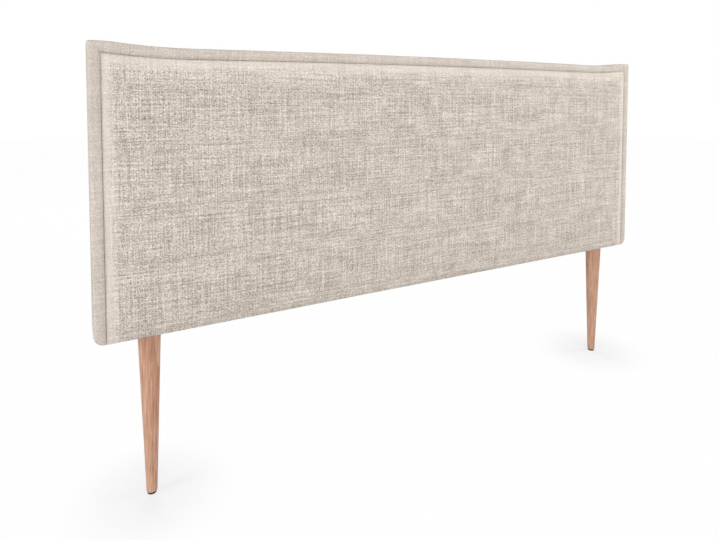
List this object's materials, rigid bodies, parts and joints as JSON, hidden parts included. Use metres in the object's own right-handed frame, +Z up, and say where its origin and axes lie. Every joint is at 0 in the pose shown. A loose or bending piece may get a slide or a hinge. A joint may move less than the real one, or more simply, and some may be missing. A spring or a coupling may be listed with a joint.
{
  "type": "upholstered headboard",
  "caption": "Upholstered rectangular headboard: crowned linen-look panel inside a padded fabric border, on round tapered wooden legs.",
  "frame": {"origin": "centre of the bounding box's footprint, on the floor under the feet", "axes": "+X along the width, -Y towards the front, +Z up"},
  "size_m": [1.6, 0.076, 0.955],
  "materials": {
    "cover_fabric": "matt beige and grey melange linen-look weave",
    "foam": "open-cell foam",
    "wadding": "loose white fibre",
    "frame_pine": "planed, bare",
    "front_board": "bare fibreboard",
    "leg_wood": "light reddish beech, matt lacquer",
    "glide_plastic": "black, matt",
    "zinc_steel": "zinc plated",
    "dust_cover": "thin black non-woven"
  },
  "bodies": {
    "root": {"panel_cover": "cover_fabric", "left_border_cover": "cover_fabric", "right_border_cover": "cover_fabric", "top_border_cover": "cover_fabric", "panel_foam": "foam", "left_border_foam": "foam", "right_border_foam": "foam", "top_border_foam": "foam", "panel_wadding": "wadding", "bottom_rail": "frame_pine", "top_rail": "frame_pine", "left_stile": "frame_pine", "left_middle_stile": "frame_pine", "right_middle_stile": "frame_pine", "right_stile": "frame_pine", "front_board": "front_board", "left_leg": "leg_wood", "right_leg": "leg_wood", "left_glide": "glide_plastic", "right_glide": "glide_plastic", "frame_screws": "zinc_steel", "board_screws": "zinc_steel", "hanger_screws": "zinc_steel", "back_staples": "zinc_steel", "left_insert_nut": "zinc_steel", "right_insert_nut": "zinc_steel", "left_leg_bolt": "zinc_steel", "right_leg_bolt": "zinc_steel", "left_wall_hanger": "zinc_steel", "right_wall_hanger": "zinc_steel", "glide_nails": "zinc_steel", "dust_cover": "dust_cover"}
  },
  "joints": []
}
